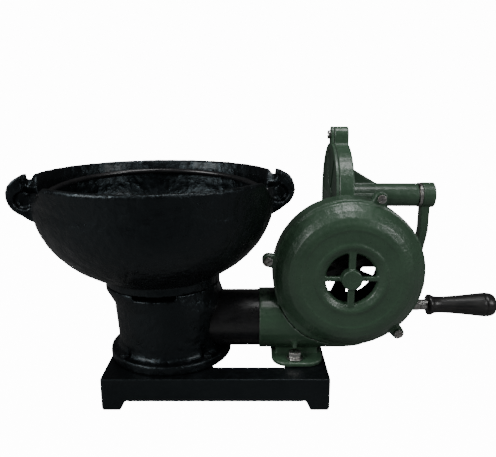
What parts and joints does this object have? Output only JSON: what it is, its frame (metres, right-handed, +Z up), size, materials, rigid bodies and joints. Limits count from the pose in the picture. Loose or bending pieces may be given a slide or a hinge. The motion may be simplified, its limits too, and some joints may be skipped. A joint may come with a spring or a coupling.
{
  "type": "coal forge with hand-cranked blower",
  "caption": "Cast fire bowl with a bail handle on a hollow pedestal and low base frame, joined by an air tube to a hand-cranked centrifugal blower.",
  "frame": {"origin": "middle of the bounding box, on the floor", "axes": "+X from the fire bowl toward the crank, +Y from the fan inlet toward the gear case, +Z up"},
  "size_m": [0.6642, 0.3274, 0.3295],
  "materials": {
    "blower_paint": "satin enamel over cast metal",
    "cast_black": "rough cast, painted black",
    "black_steel": "satin black",
    "steel": "bright, slightly worn",
    "bronze": "machined",
    "grip_black": "turned, satin black"
  },
  "bodies": {
    "stand": {"base_frame": "cast_black", "pedestal": "cast_black", "pedestal_bolt_1": "cast_black", "pedestal_bolt_2": "cast_black", "pedestal_bolt_3": "cast_black", "pedestal_bolt_4": "cast_black", "pedestal_nut_1": "steel", "pedestal_nut_2": "steel", "pedestal_nut_3": "steel", "pedestal_nut_4": "steel", "fire_bowl": "cast_black", "fire_grate": "cast_black", "air_tube": "black_steel", "fan_case": "blower_paint", "fan_case_cover": "blower_paint", "cover_screw_1": "steel", "cover_screw_2": "steel", "cover_screw_3": "steel", "foot_washer_front": "steel", "foot_washer_rear": "steel", "foot_bolt_front": "steel", "foot_bolt_rear": "steel", "foot_nut_front": "steel", "foot_nut_rear": "steel", "front_bush": "bronze", "middle_bush": "bronze", "worm_end_bush": "bronze", "gear_case": "blower_paint", "gear_cover": "blower_paint", "gear_cover_screw_1": "steel", "gear_cover_screw_2": "steel", "gear_case_bolt_1": "steel", "gear_case_bolt_2": "steel", "gear_case_bolt_3": "steel", "crank_bush_left": "bronze", "crank_bush_right": "bronze"},
    "crank": {"crankshaft": "steel", "worm_wheel": "bronze", "thrust_collar": "steel", "crank_arm": "blower_paint", "grip_stud": "steel", "grip_nut": "steel", "grip_collar": "steel"},
    "grip": {"crank_grip": "grip_black"},
    "fan": {"fan_shaft": "steel", "impeller": "black_steel", "worm": "bronze"},
    "bail": {"bail_handle": "black_steel"}
  },
  "joints": [
    {"name": "crank_turn", "type": "hinge", "parent": "stand", "child": "crank", "pos_m": [0.15763, 0.08671, 0.2325], "axis": [1, 0, 0], "continuous": true},
    {"name": "grip_turn", "type": "hinge", "parent": "crank", "child": "grip", "pos_m": [0.25763, 0.08671, 0.064], "axis": [1, 0, 0], "continuous": true},
    {"name": "fan_turn", "type": "hinge", "parent": "stand", "child": "fan", "pos_m": [0.08463, -0.01129, 0.156], "axis": [0, 1, 0], "continuous": true},
    {"name": "bail_swing", "type": "hinge", "parent": "stand", "child": "bail", "pos_m": [-0.15587, -0.01129, 0.2515], "axis": [0.9866, 0.1633, 0], "range_deg": [0, 171]}
  ],
  "couplings": [
    {"joint": "fan_turn", "follows": "crank_turn", "ratio": 12}
  ]
}
